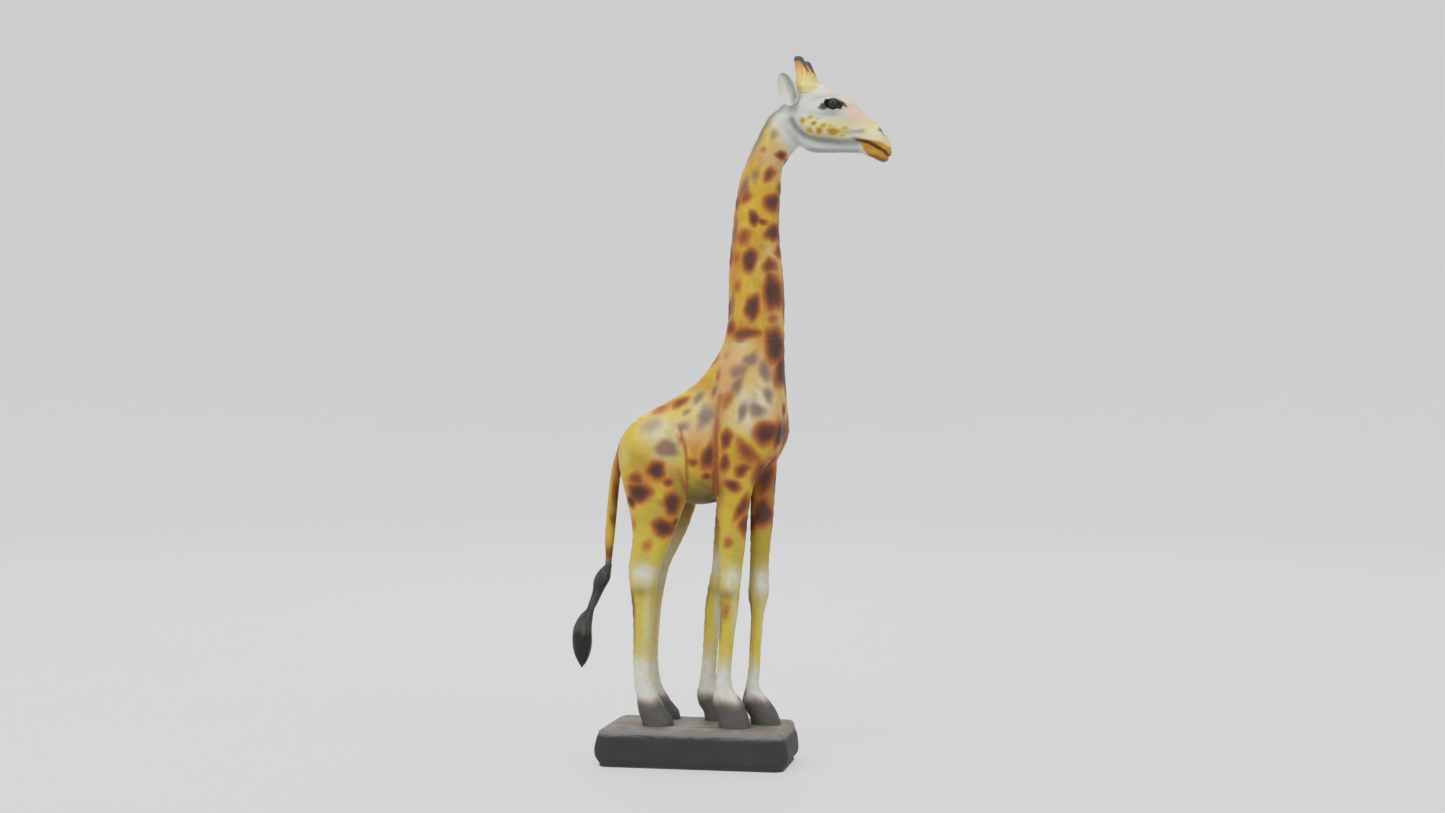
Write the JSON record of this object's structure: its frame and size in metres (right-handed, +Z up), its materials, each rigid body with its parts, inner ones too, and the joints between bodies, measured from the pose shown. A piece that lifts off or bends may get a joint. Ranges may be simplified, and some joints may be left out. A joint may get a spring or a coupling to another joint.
{
  "type": "carved giraffe statue",
  "caption": "Standing painted wooden giraffe, carved in pieces, doweled together and screwed to a rectangular plinth, for display on a shelf or table.",
  "frame": {"origin": "centre of the felt's underside, where the plinth stands on a surface", "axes": "+X the way the giraffe faces, +Y to the giraffe's left, +Z up"},
  "size_m": [0.2761, 0.075, 0.6015],
  "materials": {
    "hide_paint": "carved wood in golden yellow paint with soft dark brown spots, satin varnish",
    "face_paint": "carved wood in off-white paint with amber flecks, satin varnish",
    "horn_paint": "turned wood in orange paint with charcoal tips, satin varnish",
    "tuft_paint": "carved wood in charcoal paint, semi-gloss",
    "plinth_paint": "solid wood block in charcoal paint, matte, worn brown on top",
    "bare_wood": "bare turned dowel, glued in",
    "steel": "bright zinc-plated fixing",
    "felt": "dark brown self-adhesive felt",
    "eye_glass": "dark glass bead, polished"
  },
  "bodies": {
    "root": {"plinth": "plinth_paint", "base_felt": "felt", "torso": "hide_paint", "neck": "hide_paint", "head": "face_paint", "right_ear": "face_paint", "left_ear": "face_paint", "right_horn": "horn_paint", "left_horn": "horn_paint", "right_eye": "eye_glass", "left_eye": "eye_glass", "right_front_leg": "hide_paint", "left_front_leg": "hide_paint", "middle_front_leg": "hide_paint", "right_hind_leg": "hide_paint", "left_hind_leg": "hide_paint", "tail": "hide_paint", "tail_tuft": "tuft_paint", "tuft_pin": "steel", "neck_dowel": "bare_wood", "head_dowel": "bare_wood", "leg_dowels": "bare_wood", "middle_leg_dowel": "bare_wood", "hoof_screws": "steel"}
  },
  "joints": []
}
